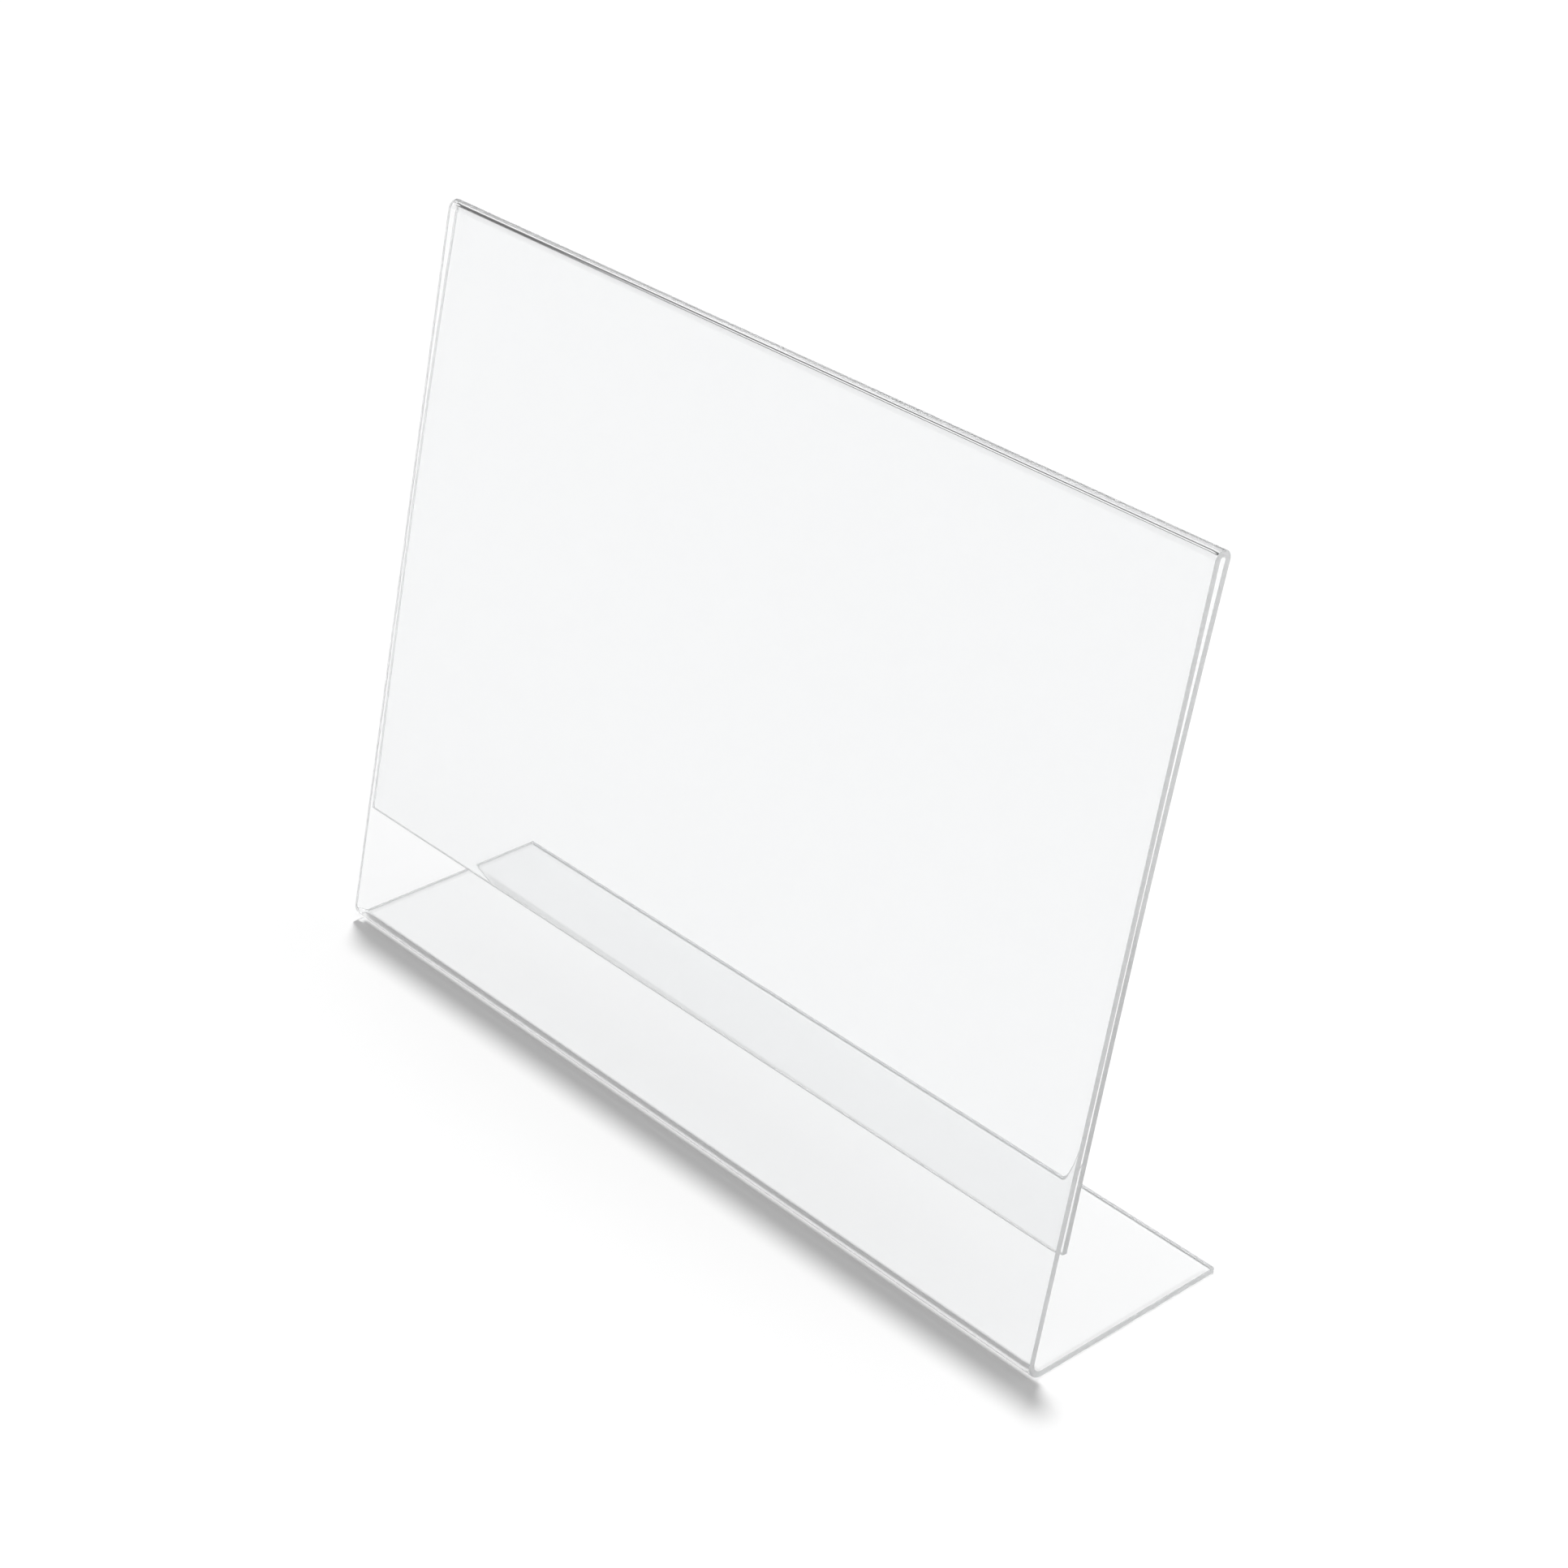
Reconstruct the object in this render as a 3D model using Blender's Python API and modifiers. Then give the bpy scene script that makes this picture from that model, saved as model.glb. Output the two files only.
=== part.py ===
"""Slanted sign holder, heat-bent from one sheet of clear acrylic.

The sheet lies flat as a foot, turns up through an acute bend into a leaning front
panel, folds back over itself at the top and comes down again as a shorter back
panel. A sign slides into the narrow pocket between the two panels.

Metres, +Z up. X is the width, the panels lean towards +Y, and the foot rests on
Z = 0 with the origin below the middle of the object.
"""

from math import cos, pi, radians, sin, tan

import bpy

OBJECT_NAME = "slanted_sign_holder"
SHEET_NAME = "folded_sheet"

# Driving dimensions.
WIDTH = 0.2794
SHEET = 0.0018
FOOT_DEPTH = 0.070
FRONT_SLANT = 0.222
BACK_SLANT = 0.185
LEAN = radians(10.0)

# Inner radii of the two bends. The top fold's is half of the pocket's width there.
BOTTOM_INNER_RADIUS = 0.0032
TOP_INNER_RADIUS = 0.0009

# The pocket narrows from the fold to a pinch part of the way down, then opens again
# towards the back panel's free edge.
PINCH_GAP = 0.0004
MOUTH_GAP = 0.0009
PINCH_SHARE = 0.53

# Cut edges are broken by a fine flat.
EDGE_BREAK = 0.00015

BOTTOM_STEPS = 16
TOP_STEPS = 24
BACK_STEPS = 6

ACRYLIC_COLOUR = (0.93, 0.95, 0.96, 1.0)
ACRYLIC_ROUGHNESS = 0.04
ACRYLIC_IOR = 1.49


def clear_scene():
    """Remove whatever the file opened with."""
    for thing in list(bpy.data.objects):
        bpy.data.objects.remove(thing, do_unlink=True)


def new_collection(name):
    """Make a collection in the scene and return it."""
    collection = bpy.data.collections.new(name)
    bpy.context.scene.collection.children.link(collection)
    return collection


def clear_acrylic():
    """Return the sheet's material."""
    material = bpy.data.materials.new("clear_acrylic")
    material.use_nodes = True
    shader = material.node_tree.nodes["Principled BSDF"]
    shader.inputs["Base Color"].default_value = ACRYLIC_COLOUR
    shader.inputs["Metallic"].default_value = 0.0
    shader.inputs["Roughness"].default_value = ACRYLIC_ROUGHNESS
    shader.inputs["IOR"].default_value = ACRYLIC_IOR
    shader.inputs["Transmission Weight"].default_value = 1.0
    return material


def sheet_path():
    """List the sheet's stretches as (length, turn, steps), from the foot's rear edge.

    Lengths run along the middle of the sheet's thickness. A turn is in radians,
    negative for clockwise with +Y to the right and +Z up.
    """
    bottom_radius = BOTTOM_INNER_RADIUS + SHEET / 2
    top_radius = TOP_INNER_RADIUS + SHEET / 2
    bottom_outer = BOTTOM_INNER_RADIUS + SHEET
    top_outer = TOP_INNER_RADIUS + SHEET

    bottom_turn = pi / 2 + LEAN
    corner_to_tangent = bottom_outer * tan(bottom_turn / 2)
    foot_run = FOOT_DEPTH - bottom_outer
    front_run = FRONT_SLANT - corner_to_tangent - top_outer

    narrowing_run = PINCH_SHARE * (BACK_SLANT - top_outer)
    opening_run = (1 - PINCH_SHARE) * (BACK_SLANT - top_outer)
    narrowing_turn = 2 * (2 * TOP_INNER_RADIUS - PINCH_GAP) / narrowing_run
    opening_turn = 2 * (MOUTH_GAP - PINCH_GAP) / opening_run
    top_turn = pi + narrowing_turn

    foot = (foot_run, 0.0, 1)
    bottom_bend = (bottom_radius * bottom_turn, -bottom_turn, BOTTOM_STEPS)
    front = (front_run, 0.0, 1)
    top_fold = (top_radius * top_turn, -top_turn, TOP_STEPS)
    back_narrowing = (narrowing_run, narrowing_turn, BACK_STEPS)
    back_opening = (opening_run, opening_turn, BACK_STEPS)
    return [foot, bottom_bend, front, top_fold, back_narrowing, back_opening]


def profile_points():
    """Walk along the path and return the (y, z) points of the sheet's middle line."""
    y = FOOT_DEPTH / 2
    z = SHEET / 2
    heading = pi
    points = [(y, z)]
    for length, turn, steps in sheet_path():
        step_turn = turn / steps
        chord = length / steps
        if turn:
            chord = 2 * (length / turn) * sin(step_turn / 2)
        for _ in range(steps):
            direction = heading + step_turn / 2
            y += chord * cos(direction)
            z += chord * sin(direction)
            heading += step_turn
            points.append((y, z))
    return points


def sheet_surface():
    """Return a mesh of the sheet's middle surface, the profile carried across the width."""
    points = profile_points()
    left = [(-WIDTH / 2, y, z) for y, z in points]
    right = [(WIDTH / 2, y, z) for y, z in points]
    count = len(points)
    faces = [(i, i + 1, count + i + 1, count + i) for i in range(count - 1)]
    mesh = bpy.data.meshes.new(SHEET_NAME)
    mesh.from_pydata(left + right, [], faces)
    mesh.validate()
    return mesh


def add_thickness(sheet):
    """Grow the middle surface evenly to both sides."""
    solidify = sheet.modifiers.new("thickness", "SOLIDIFY")
    solidify.thickness = SHEET
    solidify.offset = 0.0
    solidify.use_even_offset = True
    solidify.use_rim = True


def break_edges(sheet):
    """Take the sharpness off the cut edges all round."""
    bevel = sheet.modifiers.new("edge_break", "BEVEL")
    bevel.width = EDGE_BREAK
    bevel.segments = 1
    bevel.limit_method = "ANGLE"
    bevel.angle_limit = radians(60.0)


def build_sheet(collection):
    """Make the folded sheet."""
    mesh = sheet_surface()
    mesh.materials.append(clear_acrylic())
    mesh.shade_smooth()
    mesh.set_sharp_from_angle(angle=radians(30.0))
    sheet = bpy.data.objects.new(SHEET_NAME, mesh)
    collection.objects.link(sheet)
    add_thickness(sheet)
    break_edges(sheet)
    return sheet


def main():
    clear_scene()
    build_sheet(new_collection(OBJECT_NAME))


main()
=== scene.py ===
"""Looks for the slanted sign holder: one clear acrylic sheet, bent twice.

The sheet's visual mesh is the same profile as the CAD node it replaces, with smooth
bends and broken cut edges. Metres, +Z up, in the CAD frame.
"""

from math import cos, pi, radians, sin, tan

import bpy
from mathutils import Matrix, Vector


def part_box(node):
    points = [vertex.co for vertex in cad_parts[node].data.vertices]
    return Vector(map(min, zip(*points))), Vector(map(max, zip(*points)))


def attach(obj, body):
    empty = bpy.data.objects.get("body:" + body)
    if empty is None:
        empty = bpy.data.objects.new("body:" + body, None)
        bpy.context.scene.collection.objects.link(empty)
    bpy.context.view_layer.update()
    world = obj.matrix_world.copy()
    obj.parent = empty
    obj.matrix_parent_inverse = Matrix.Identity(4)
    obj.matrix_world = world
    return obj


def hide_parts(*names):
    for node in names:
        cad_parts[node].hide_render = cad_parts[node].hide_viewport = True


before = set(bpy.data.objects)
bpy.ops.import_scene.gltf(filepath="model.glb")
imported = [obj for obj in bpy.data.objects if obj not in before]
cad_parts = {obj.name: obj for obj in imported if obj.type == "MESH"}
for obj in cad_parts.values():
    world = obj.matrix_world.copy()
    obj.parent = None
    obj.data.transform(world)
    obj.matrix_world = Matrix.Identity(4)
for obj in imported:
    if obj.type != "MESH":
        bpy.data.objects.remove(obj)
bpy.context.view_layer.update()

SHEET_NODE = "folded_sheet"
LOW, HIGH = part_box(SHEET_NODE)

# The sheet and its bends.
SHEET = 0.0018
LEAN = radians(10.0)
BACK_SLANT = 0.185
BOTTOM_INNER_RADIUS = 0.0032
TOP_INNER_RADIUS = 0.0009
PINCH_GAP = 0.0004
MOUTH_GAP = 0.0009
PINCH_SHARE = 0.53
SIDE_BREAK = 0.0001
END_BREAK = 0.00018

# How finely it is divided.
FOOT_STEPS = 24
BOTTOM_STEPS = 48
FRONT_STEPS = 72
TOP_STEPS = 72
BACK_STEPS = 30
BREAK_STEPS = 4
COLUMNS = 96

# The key's way up from the floor, as run per rise: nearly in line with the panels.
KEY_SLOPE = (-tan(radians(3.0)), tan(radians(11.7)))
KEY_ANGLE = radians(2.9)
KEY_STRENGTH = 2.0

# The clear plastic, and how much light goes straight through one of its faces.
ACRYLIC_TINT = (0.937, 0.941, 0.944, 1.0)
ACRYLIC_IOR = 1.49
STRAIGHT_THROUGH = 0.995
FROST_SHARE = 0.5

# The floor: a wide square of paper just under the foot.
PAPER = (0.9, 0.9, 0.9, 1.0)
FLOOR_SIZE = 40.0
FLOOR_DROP = 0.0002

# The room. Each band changes the tone with height (the direction's Z): from, to, tone
# before, tone after. Each glow is a bright area: azimuth, elevation, inner and outer
# radius in degrees, tone.
BACKDROP = (1.03, 1.03, 1.03, 1)
ROOM_BANDS = [
    (0.02, 0.06, 1.0, 0.12),
    (0.68, 0.86, 0.0, 0.36),
]
ROOM_GLOWS = [
    (136, 45, 14, 16.5, 1.25),
    (10, 30, 15, 40, 1.2),
    (75, 20, 15, 35, 1.0),
    (185, 18, 14, 28, 1.0),
]

# Light runs along inside the sheet, so it needs many bounces.
SHEET_BOUNCES = 256
CLEAR_LAYERS = 64

# Camera.
LENS = 78.89
CAMERA_PLACE = Vector((0.5754, -0.5481, 0.5505))
CAMERA_AIM = Vector((0.00658, -0.00053, 0.10004))
CAMERA_ROLL = radians(2.65)


def stretches(front_run):
    """List the profile's stretches as (length, turn, steps), from the foot's rear edge."""
    bottom_radius = BOTTOM_INNER_RADIUS + SHEET / 2
    top_radius = TOP_INNER_RADIUS + SHEET / 2
    foot_run = HIGH.y - LOW.y - BOTTOM_INNER_RADIUS - SHEET
    back_run = BACK_SLANT - TOP_INNER_RADIUS - SHEET
    narrowing_run = PINCH_SHARE * back_run
    opening_run = back_run - narrowing_run
    bottom_turn = pi / 2 + LEAN
    narrowing_turn = 2 * (2 * TOP_INNER_RADIUS - PINCH_GAP) / narrowing_run
    opening_turn = 2 * (MOUTH_GAP - PINCH_GAP) / opening_run
    top_turn = pi + narrowing_turn
    return [
        (foot_run, 0.0, FOOT_STEPS),
        (bottom_radius * bottom_turn, -bottom_turn, BOTTOM_STEPS),
        (front_run, 0.0, FRONT_STEPS),
        (top_radius * top_turn, -top_turn, TOP_STEPS),
        (narrowing_run, narrowing_turn, BACK_STEPS),
        (opening_run, opening_turn, BACK_STEPS),
    ]


def walk(front_run):
    """Follow the stretches and return (y, z, heading) at each station."""
    y = HIGH.y
    z = LOW.z + SHEET / 2
    heading = pi
    stations = [(y, z, heading)]
    for length, turn, steps in stretches(front_run):
        step_turn = turn / steps
        chord = length / steps
        if turn:
            chord = 2 * (length / turn) * sin(step_turn / 2)
        for _ in range(steps):
            direction = heading + step_turn / 2
            y += chord * cos(direction)
            z += chord * sin(direction)
            heading += step_turn
            stations.append((y, z, heading))
    return stations


def profile():
    """Return the stations of a profile exactly as tall as the CAD node."""
    def top(front_run):
        return max(z for _, z, _ in walk(front_run)) + SHEET / 2

    flat_top = top(0.1)
    front_run = 0.1 + (HIGH.z - flat_top) / cos(LEAN)
    return walk(front_run)


def quarter_turn():
    """List the angles round a broken edge, from the end to the face."""
    return [pi / 2 * i / BREAK_STEPS for i in range(BREAK_STEPS + 1)]


def face_pair(y, z, heading, half):
    """Return the upper and lower points, half the thickness away from the middle line."""
    ny, nz = -sin(heading), cos(heading)
    return ((y + ny * half, z + nz * half), (y - ny * half, z - nz * half))


def rounded_end(station, sign, inset):
    """Return the point pairs round a free end's broken edges, outermost first."""
    y, z, heading = station
    radius = END_BREAK - inset
    core = SHEET / 2 - END_BREAK
    pairs = []
    for angle in quarter_turn():
        along = sign * (END_BREAK - radius * cos(angle))
        half = core + radius * sin(angle)
        pairs.append(face_pair(y + cos(heading) * along, z + sin(heading) * along, heading, half))
    return pairs


def section(stations, inset):
    """Return the upper and lower points of the cross-section, moved in by inset."""
    start = rounded_end(stations[0], 1, inset)
    middle = [face_pair(y, z, heading, SHEET / 2 - inset) for y, z, heading in stations[1:-1]]
    end = rounded_end(stations[-1], -1, inset)
    return start + middle + end[::-1]


def columns():
    """List (x, inset) across the width, with both sides' edges broken."""
    half_width = (HIGH.x - LOW.x) / 2
    middle = (HIGH.x + LOW.x) / 2
    span = 2 * (half_width - SIDE_BREAK)
    side = [(SIDE_BREAK * (1 - cos(a)), SIDE_BREAK * (1 - sin(a))) for a in quarter_turn()[:-1]]
    left = [(middle - half_width + along, inset) for along, inset in side]
    right = [(middle + half_width - along, inset) for along, inset in reversed(side)]
    flat = [(middle - span / 2 + span * i / COLUMNS, 0.0) for i in range(COLUMNS + 1)]
    return left + flat + right


def edge_faces(count, half):
    """Return the loop's segments that belong to the free ends and their broken edges."""
    found = {half - 1, count - 1}
    for i in range(count - 1):
        row = min(i, count - 2 - i)
        if min(row, half - 2 - row) < BREAK_STEPS:
            found.add(i)
    return found


def sheet_mesh():
    """Sweep the section across the width and cap both sides."""
    stations = profile()
    across = columns()
    points = []
    for x, inset in across:
        pairs = section(stations, inset)
        loop = [upper for upper, _ in pairs] + [lower for _, lower in reversed(pairs)]
        points += [(x, y, z) for y, z in loop]
    count = len(loop)
    half = len(pairs)
    free_ends = edge_faces(count, half)

    faces, slots = [], []
    for c in range(len(across) - 1):
        near, far = c * count, (c + 1) * count
        side_edge = min(c, len(across) - 2 - c) < BREAK_STEPS
        for i in range(count):
            j = (i + 1) % count
            faces.append((near + i, far + i, far + j, near + j))
            slots.append(1 if side_edge or i in free_ends else 0)
    last = (len(across) - 1) * count
    for i in range(half - 1):
        corners = (i, i + 1, count - 2 - i, count - 1 - i)
        faces.append(corners)
        faces.append(tuple(last + k for k in reversed(corners)))
        slots += [1, 1]

    mesh = bpy.data.meshes.new("clear_sheet")
    mesh.from_pydata(points, [], faces)
    mesh.polygons.foreach_set("material_index", slots)
    mesh.validate()
    mesh.shade_smooth()
    mesh.set_sharp_from_angle(angle=radians(40.0))
    return mesh


def new_material(name):
    """Return an empty node material and its tree."""
    material = bpy.data.materials.new(name)
    material.use_nodes = True
    tree = material.node_tree
    tree.nodes.clear()
    return material, tree


def clear_acrylic():
    """Polished clear faces: glass with a faint cool tint and very slight smears."""
    material, tree = new_material("clear_acrylic")
    nodes, link = tree.nodes, tree.links.new
    out = nodes.new("ShaderNodeOutputMaterial")
    glass = nodes.new("ShaderNodeBsdfPrincipled")
    glass.inputs["Base Color"].default_value = ACRYLIC_TINT
    glass.inputs["IOR"].default_value = ACRYLIC_IOR
    glass.inputs["Transmission Weight"].default_value = 1.0

    place = nodes.new("ShaderNodeTexCoord")
    smear = nodes.new("ShaderNodeTexNoise")
    smear.inputs["Scale"].default_value = 18.0
    smear.inputs["Detail"].default_value = 5.0
    rough = nodes.new("ShaderNodeMapRange")
    rough.inputs["From Min"].default_value = 0.35
    rough.inputs["From Max"].default_value = 0.75
    rough.inputs["To Min"].default_value = 0.0
    rough.inputs["To Max"].default_value = 0.02
    link(place.outputs["Object"], smear.inputs["Vector"])
    link(smear.outputs["Fac"], rough.inputs["Value"])
    link(rough.outputs["Result"], glass.inputs["Roughness"])

    wave = nodes.new("ShaderNodeTexNoise")
    wave.inputs["Scale"].default_value = 9.0
    wave.inputs["Detail"].default_value = 1.0
    bump = nodes.new("ShaderNodeBump")
    bump.inputs["Strength"].default_value = 0.04
    bump.inputs["Distance"].default_value = 0.002
    link(place.outputs["Object"], wave.inputs["Vector"])
    link(wave.outputs["Fac"], bump.inputs["Height"])
    link(bump.outputs["Normal"], glass.inputs["Normal"])

    surface = lamps_pass(tree, glass.outputs["BSDF"])
    link(surface, out.inputs["Surface"])
    return material


def lamps_pass(tree, glass):
    """Let lamps through the sheet, less what each face mirrors at the ray's angle."""
    nodes, link = tree.nodes, tree.links.new
    facing = nodes.new("ShaderNodeLayerWeight")
    facing.inputs["Blend"].default_value = 0.5
    fifth = nodes.new("ShaderNodeMath")
    fifth.operation = "POWER"
    fifth.inputs[1].default_value = 5.0
    tone = nodes.new("ShaderNodeMapRange")
    tone.inputs["To Min"].default_value = STRAIGHT_THROUGH
    tone.inputs["To Max"].default_value = 0.0
    open_side = nodes.new("ShaderNodeBsdfTransparent")
    path = nodes.new("ShaderNodeLightPath")
    link(facing.outputs["Facing"], fifth.inputs[0])
    link(fifth.outputs["Value"], tone.inputs["Value"])
    link(tone.outputs["Result"], open_side.inputs["Color"])
    mixed = glass
    for ray in ("Is Diffuse Ray", "Is Shadow Ray"):
        mix = nodes.new("ShaderNodeMixShader")
        link(path.outputs[ray], mix.inputs[0])
        link(mixed, mix.inputs[1])
        link(open_side.outputs["BSDF"], mix.inputs[2])
        mixed = mix.outputs["Shader"]
    return mixed


def cut_edge():
    """Cut edge: part clear, part frosted, with a fine grain."""
    material, tree = new_material("cut_edge")
    nodes, link = tree.nodes, tree.links.new
    out = nodes.new("ShaderNodeOutputMaterial")
    satin = nodes.new("ShaderNodeBsdfPrincipled")
    satin.inputs["IOR"].default_value = ACRYLIC_IOR
    satin.inputs["Transmission Weight"].default_value = 1.0
    place = nodes.new("ShaderNodeTexCoord")
    grain = nodes.new("ShaderNodeTexNoise")
    grain.inputs["Scale"].default_value = 900.0
    grain.inputs["Detail"].default_value = 3.0
    shade = nodes.new("ShaderNodeValToRGB")
    shade.color_ramp.elements[0].position = 0.3
    shade.color_ramp.elements[0].color = (0.84, 0.85, 0.855, 1)
    shade.color_ramp.elements[1].position = 0.75
    shade.color_ramp.elements[1].color = (0.92, 0.925, 0.93, 1)
    rough = nodes.new("ShaderNodeMapRange")
    rough.inputs["To Min"].default_value = 0.06
    rough.inputs["To Max"].default_value = 0.24
    bump = nodes.new("ShaderNodeBump")
    bump.inputs["Strength"].default_value = 0.06
    bump.inputs["Distance"].default_value = 0.0001
    frost = nodes.new("ShaderNodeBsdfTranslucent")
    mix = nodes.new("ShaderNodeMixShader")
    mix.inputs[0].default_value = FROST_SHARE
    link(place.outputs["Object"], grain.inputs["Vector"])
    link(grain.outputs["Fac"], shade.inputs["Fac"])
    link(shade.outputs["Color"], satin.inputs["Base Color"])
    link(shade.outputs["Color"], frost.inputs["Color"])
    link(grain.outputs["Fac"], rough.inputs["Value"])
    link(rough.outputs["Result"], satin.inputs["Roughness"])
    link(grain.outputs["Fac"], bump.inputs["Height"])
    link(bump.outputs["Normal"], satin.inputs["Normal"])
    link(satin.outputs["BSDF"], mix.inputs[1])
    link(frost.outputs["BSDF"], mix.inputs[2])
    link(mix.outputs["Shader"], out.inputs["Surface"])
    return material


def make_sheet():
    """Make the folded sheet that stands for the CAD node."""
    mesh = sheet_mesh()
    mesh.materials.append(clear_acrylic())
    mesh.materials.append(cut_edge())
    sheet = bpy.data.objects.new("clear_sheet", mesh)
    bpy.context.scene.collection.objects.link(sheet)
    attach(sheet, "root")
    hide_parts(SHEET_NODE)
    return sheet


def pale_floor():
    """Matt white paper."""
    material, tree = new_material("pale_floor")
    nodes, link = tree.nodes, tree.links.new
    out = nodes.new("ShaderNodeOutputMaterial")
    paper = nodes.new("ShaderNodeBsdfPrincipled")
    paper.inputs["Roughness"].default_value = 1.0
    paper.inputs["Specular IOR Level"].default_value = 0.0
    paper.inputs["Base Color"].default_value = PAPER
    link(paper.outputs["BSDF"], out.inputs["Surface"])
    return material


def make_floor():
    """A wide floor at the height that the foot rests on."""
    half = FLOOR_SIZE / 2
    z = LOW.z - FLOOR_DROP
    corners = [(-half, -half, z), (half, -half, z), (half, half, z), (-half, half, z)]
    mesh = bpy.data.meshes.new("floor")
    mesh.from_pydata(corners, [], [(0, 1, 2, 3)])
    mesh.materials.append(pale_floor())
    floor = bpy.data.objects.new("floor", mesh)
    bpy.context.scene.collection.objects.link(floor)


def glow_share(tree, vector, azimuth, elevation, inner, outer):
    """Return a socket that is 1 within inner of a direction, falling to 0 at outer."""
    nodes, link = tree.nodes, tree.links.new
    a, e = radians(azimuth), radians(elevation)
    dot = nodes.new("ShaderNodeVectorMath")
    dot.operation = "DOT_PRODUCT"
    dot.inputs[1].default_value = (cos(a) * cos(e), sin(a) * cos(e), sin(e))
    fall = nodes.new("ShaderNodeMapRange")
    fall.interpolation_type = "SMOOTHSTEP"
    fall.inputs["From Min"].default_value = cos(radians(outer))
    fall.inputs["From Max"].default_value = cos(radians(inner))
    link(vector, dot.inputs[0])
    link(dot.outputs["Value"], fall.inputs["Value"])
    return fall.outputs["Result"]


def band_tone(tree, height, low, high, before, after):
    """Return a socket whose tone changes softly between two heights."""
    rise = tree.nodes.new("ShaderNodeMapRange")
    rise.interpolation_type = "SMOOTHSTEP"
    rise.inputs["From Min"].default_value = low
    rise.inputs["From Max"].default_value = high
    rise.inputs["To Min"].default_value = before
    rise.inputs["To Max"].default_value = after
    tree.links.new(height, rise.inputs["Value"])
    return rise.outputs["Result"]


def room_tone(tree):
    """Return the room's tone: the two bands added up, with the glows blended over them."""
    nodes, link = tree.nodes, tree.links.new
    place = nodes.new("ShaderNodeTexCoord")
    split = nodes.new("ShaderNodeSeparateXYZ")
    link(place.outputs["Generated"], split.inputs["Vector"])
    add = nodes.new("ShaderNodeMath")
    add.operation = "ADD"
    for socket, band in zip(add.inputs, ROOM_BANDS):
        link(band_tone(tree, split.outputs["Z"], *band), socket)
    tone = add.outputs["Value"]
    for azimuth, elevation, inner, outer, level in ROOM_GLOWS:
        share = glow_share(tree, place.outputs["Generated"], azimuth, elevation, inner, outer)
        blend = nodes.new("ShaderNodeMix")
        blend.inputs["B"].default_value = level
        link(share, blend.inputs["Factor"])
        link(tone, blend.inputs["A"])
        tone = blend.outputs["Result"]
    return tone


def make_world():
    """The room: white near the horizon, dim walls, soft glows; plain white to the camera."""
    world = bpy.data.worlds.new("studio")
    bpy.context.scene.world = world
    world.use_nodes = True
    tree = world.node_tree
    nodes, link = tree.nodes, tree.links.new
    nodes.clear()
    out = nodes.new("ShaderNodeOutputWorld")
    room = nodes.new("ShaderNodeBackground")
    plain = nodes.new("ShaderNodeBackground")
    plain.inputs["Color"].default_value = BACKDROP
    path = nodes.new("ShaderNodeLightPath")
    mix = nodes.new("ShaderNodeMixShader")
    link(room_tone(tree), room.inputs["Color"])
    link(path.outputs["Is Camera Ray"], mix.inputs[0])
    link(room.outputs["Background"], mix.inputs[1])
    link(plain.outputs["Background"], mix.inputs[2])
    link(mix.outputs["Shader"], out.inputs["Surface"])


def make_key():
    """A small far lamp, almost in line with the leaning panels."""
    light = bpy.data.lights.new("key", "SUN")
    light.angle = KEY_ANGLE
    light.energy = KEY_STRENGTH
    key = bpy.data.objects.new("key", light)
    bpy.context.scene.collection.objects.link(key)
    place = Vector((*KEY_SLOPE, 1.0))
    key.rotation_euler = (-place).to_track_quat("-Z", "Y").to_euler()


def make_camera():
    """Stand the camera at the viewing angle."""
    data = bpy.data.cameras.new("camera")
    data.lens = LENS
    data.sensor_width = 36.0
    data.clip_start = 0.01
    data.clip_end = 100.0
    camera = bpy.data.objects.new("camera", data)
    bpy.context.scene.collection.objects.link(camera)
    forward = (CAMERA_AIM - CAMERA_PLACE).normalized()
    level = forward.to_track_quat("-Z", "Y").to_matrix().to_4x4()
    camera.matrix_world = Matrix.Translation(CAMERA_PLACE) @ level @ Matrix.Rotation(CAMERA_ROLL, 4, "Z")
    bpy.context.scene.camera = camera


make_camera()
make_floor()
make_world()
make_key()
make_sheet()

scene = bpy.context.scene
scene.view_settings.view_transform = "Standard"
scene.cycles.max_bounces = SHEET_BOUNCES
scene.cycles.glossy_bounces = SHEET_BOUNCES
scene.cycles.transmission_bounces = SHEET_BOUNCES
scene.cycles.transparent_max_bounces = CLEAR_LAYERS
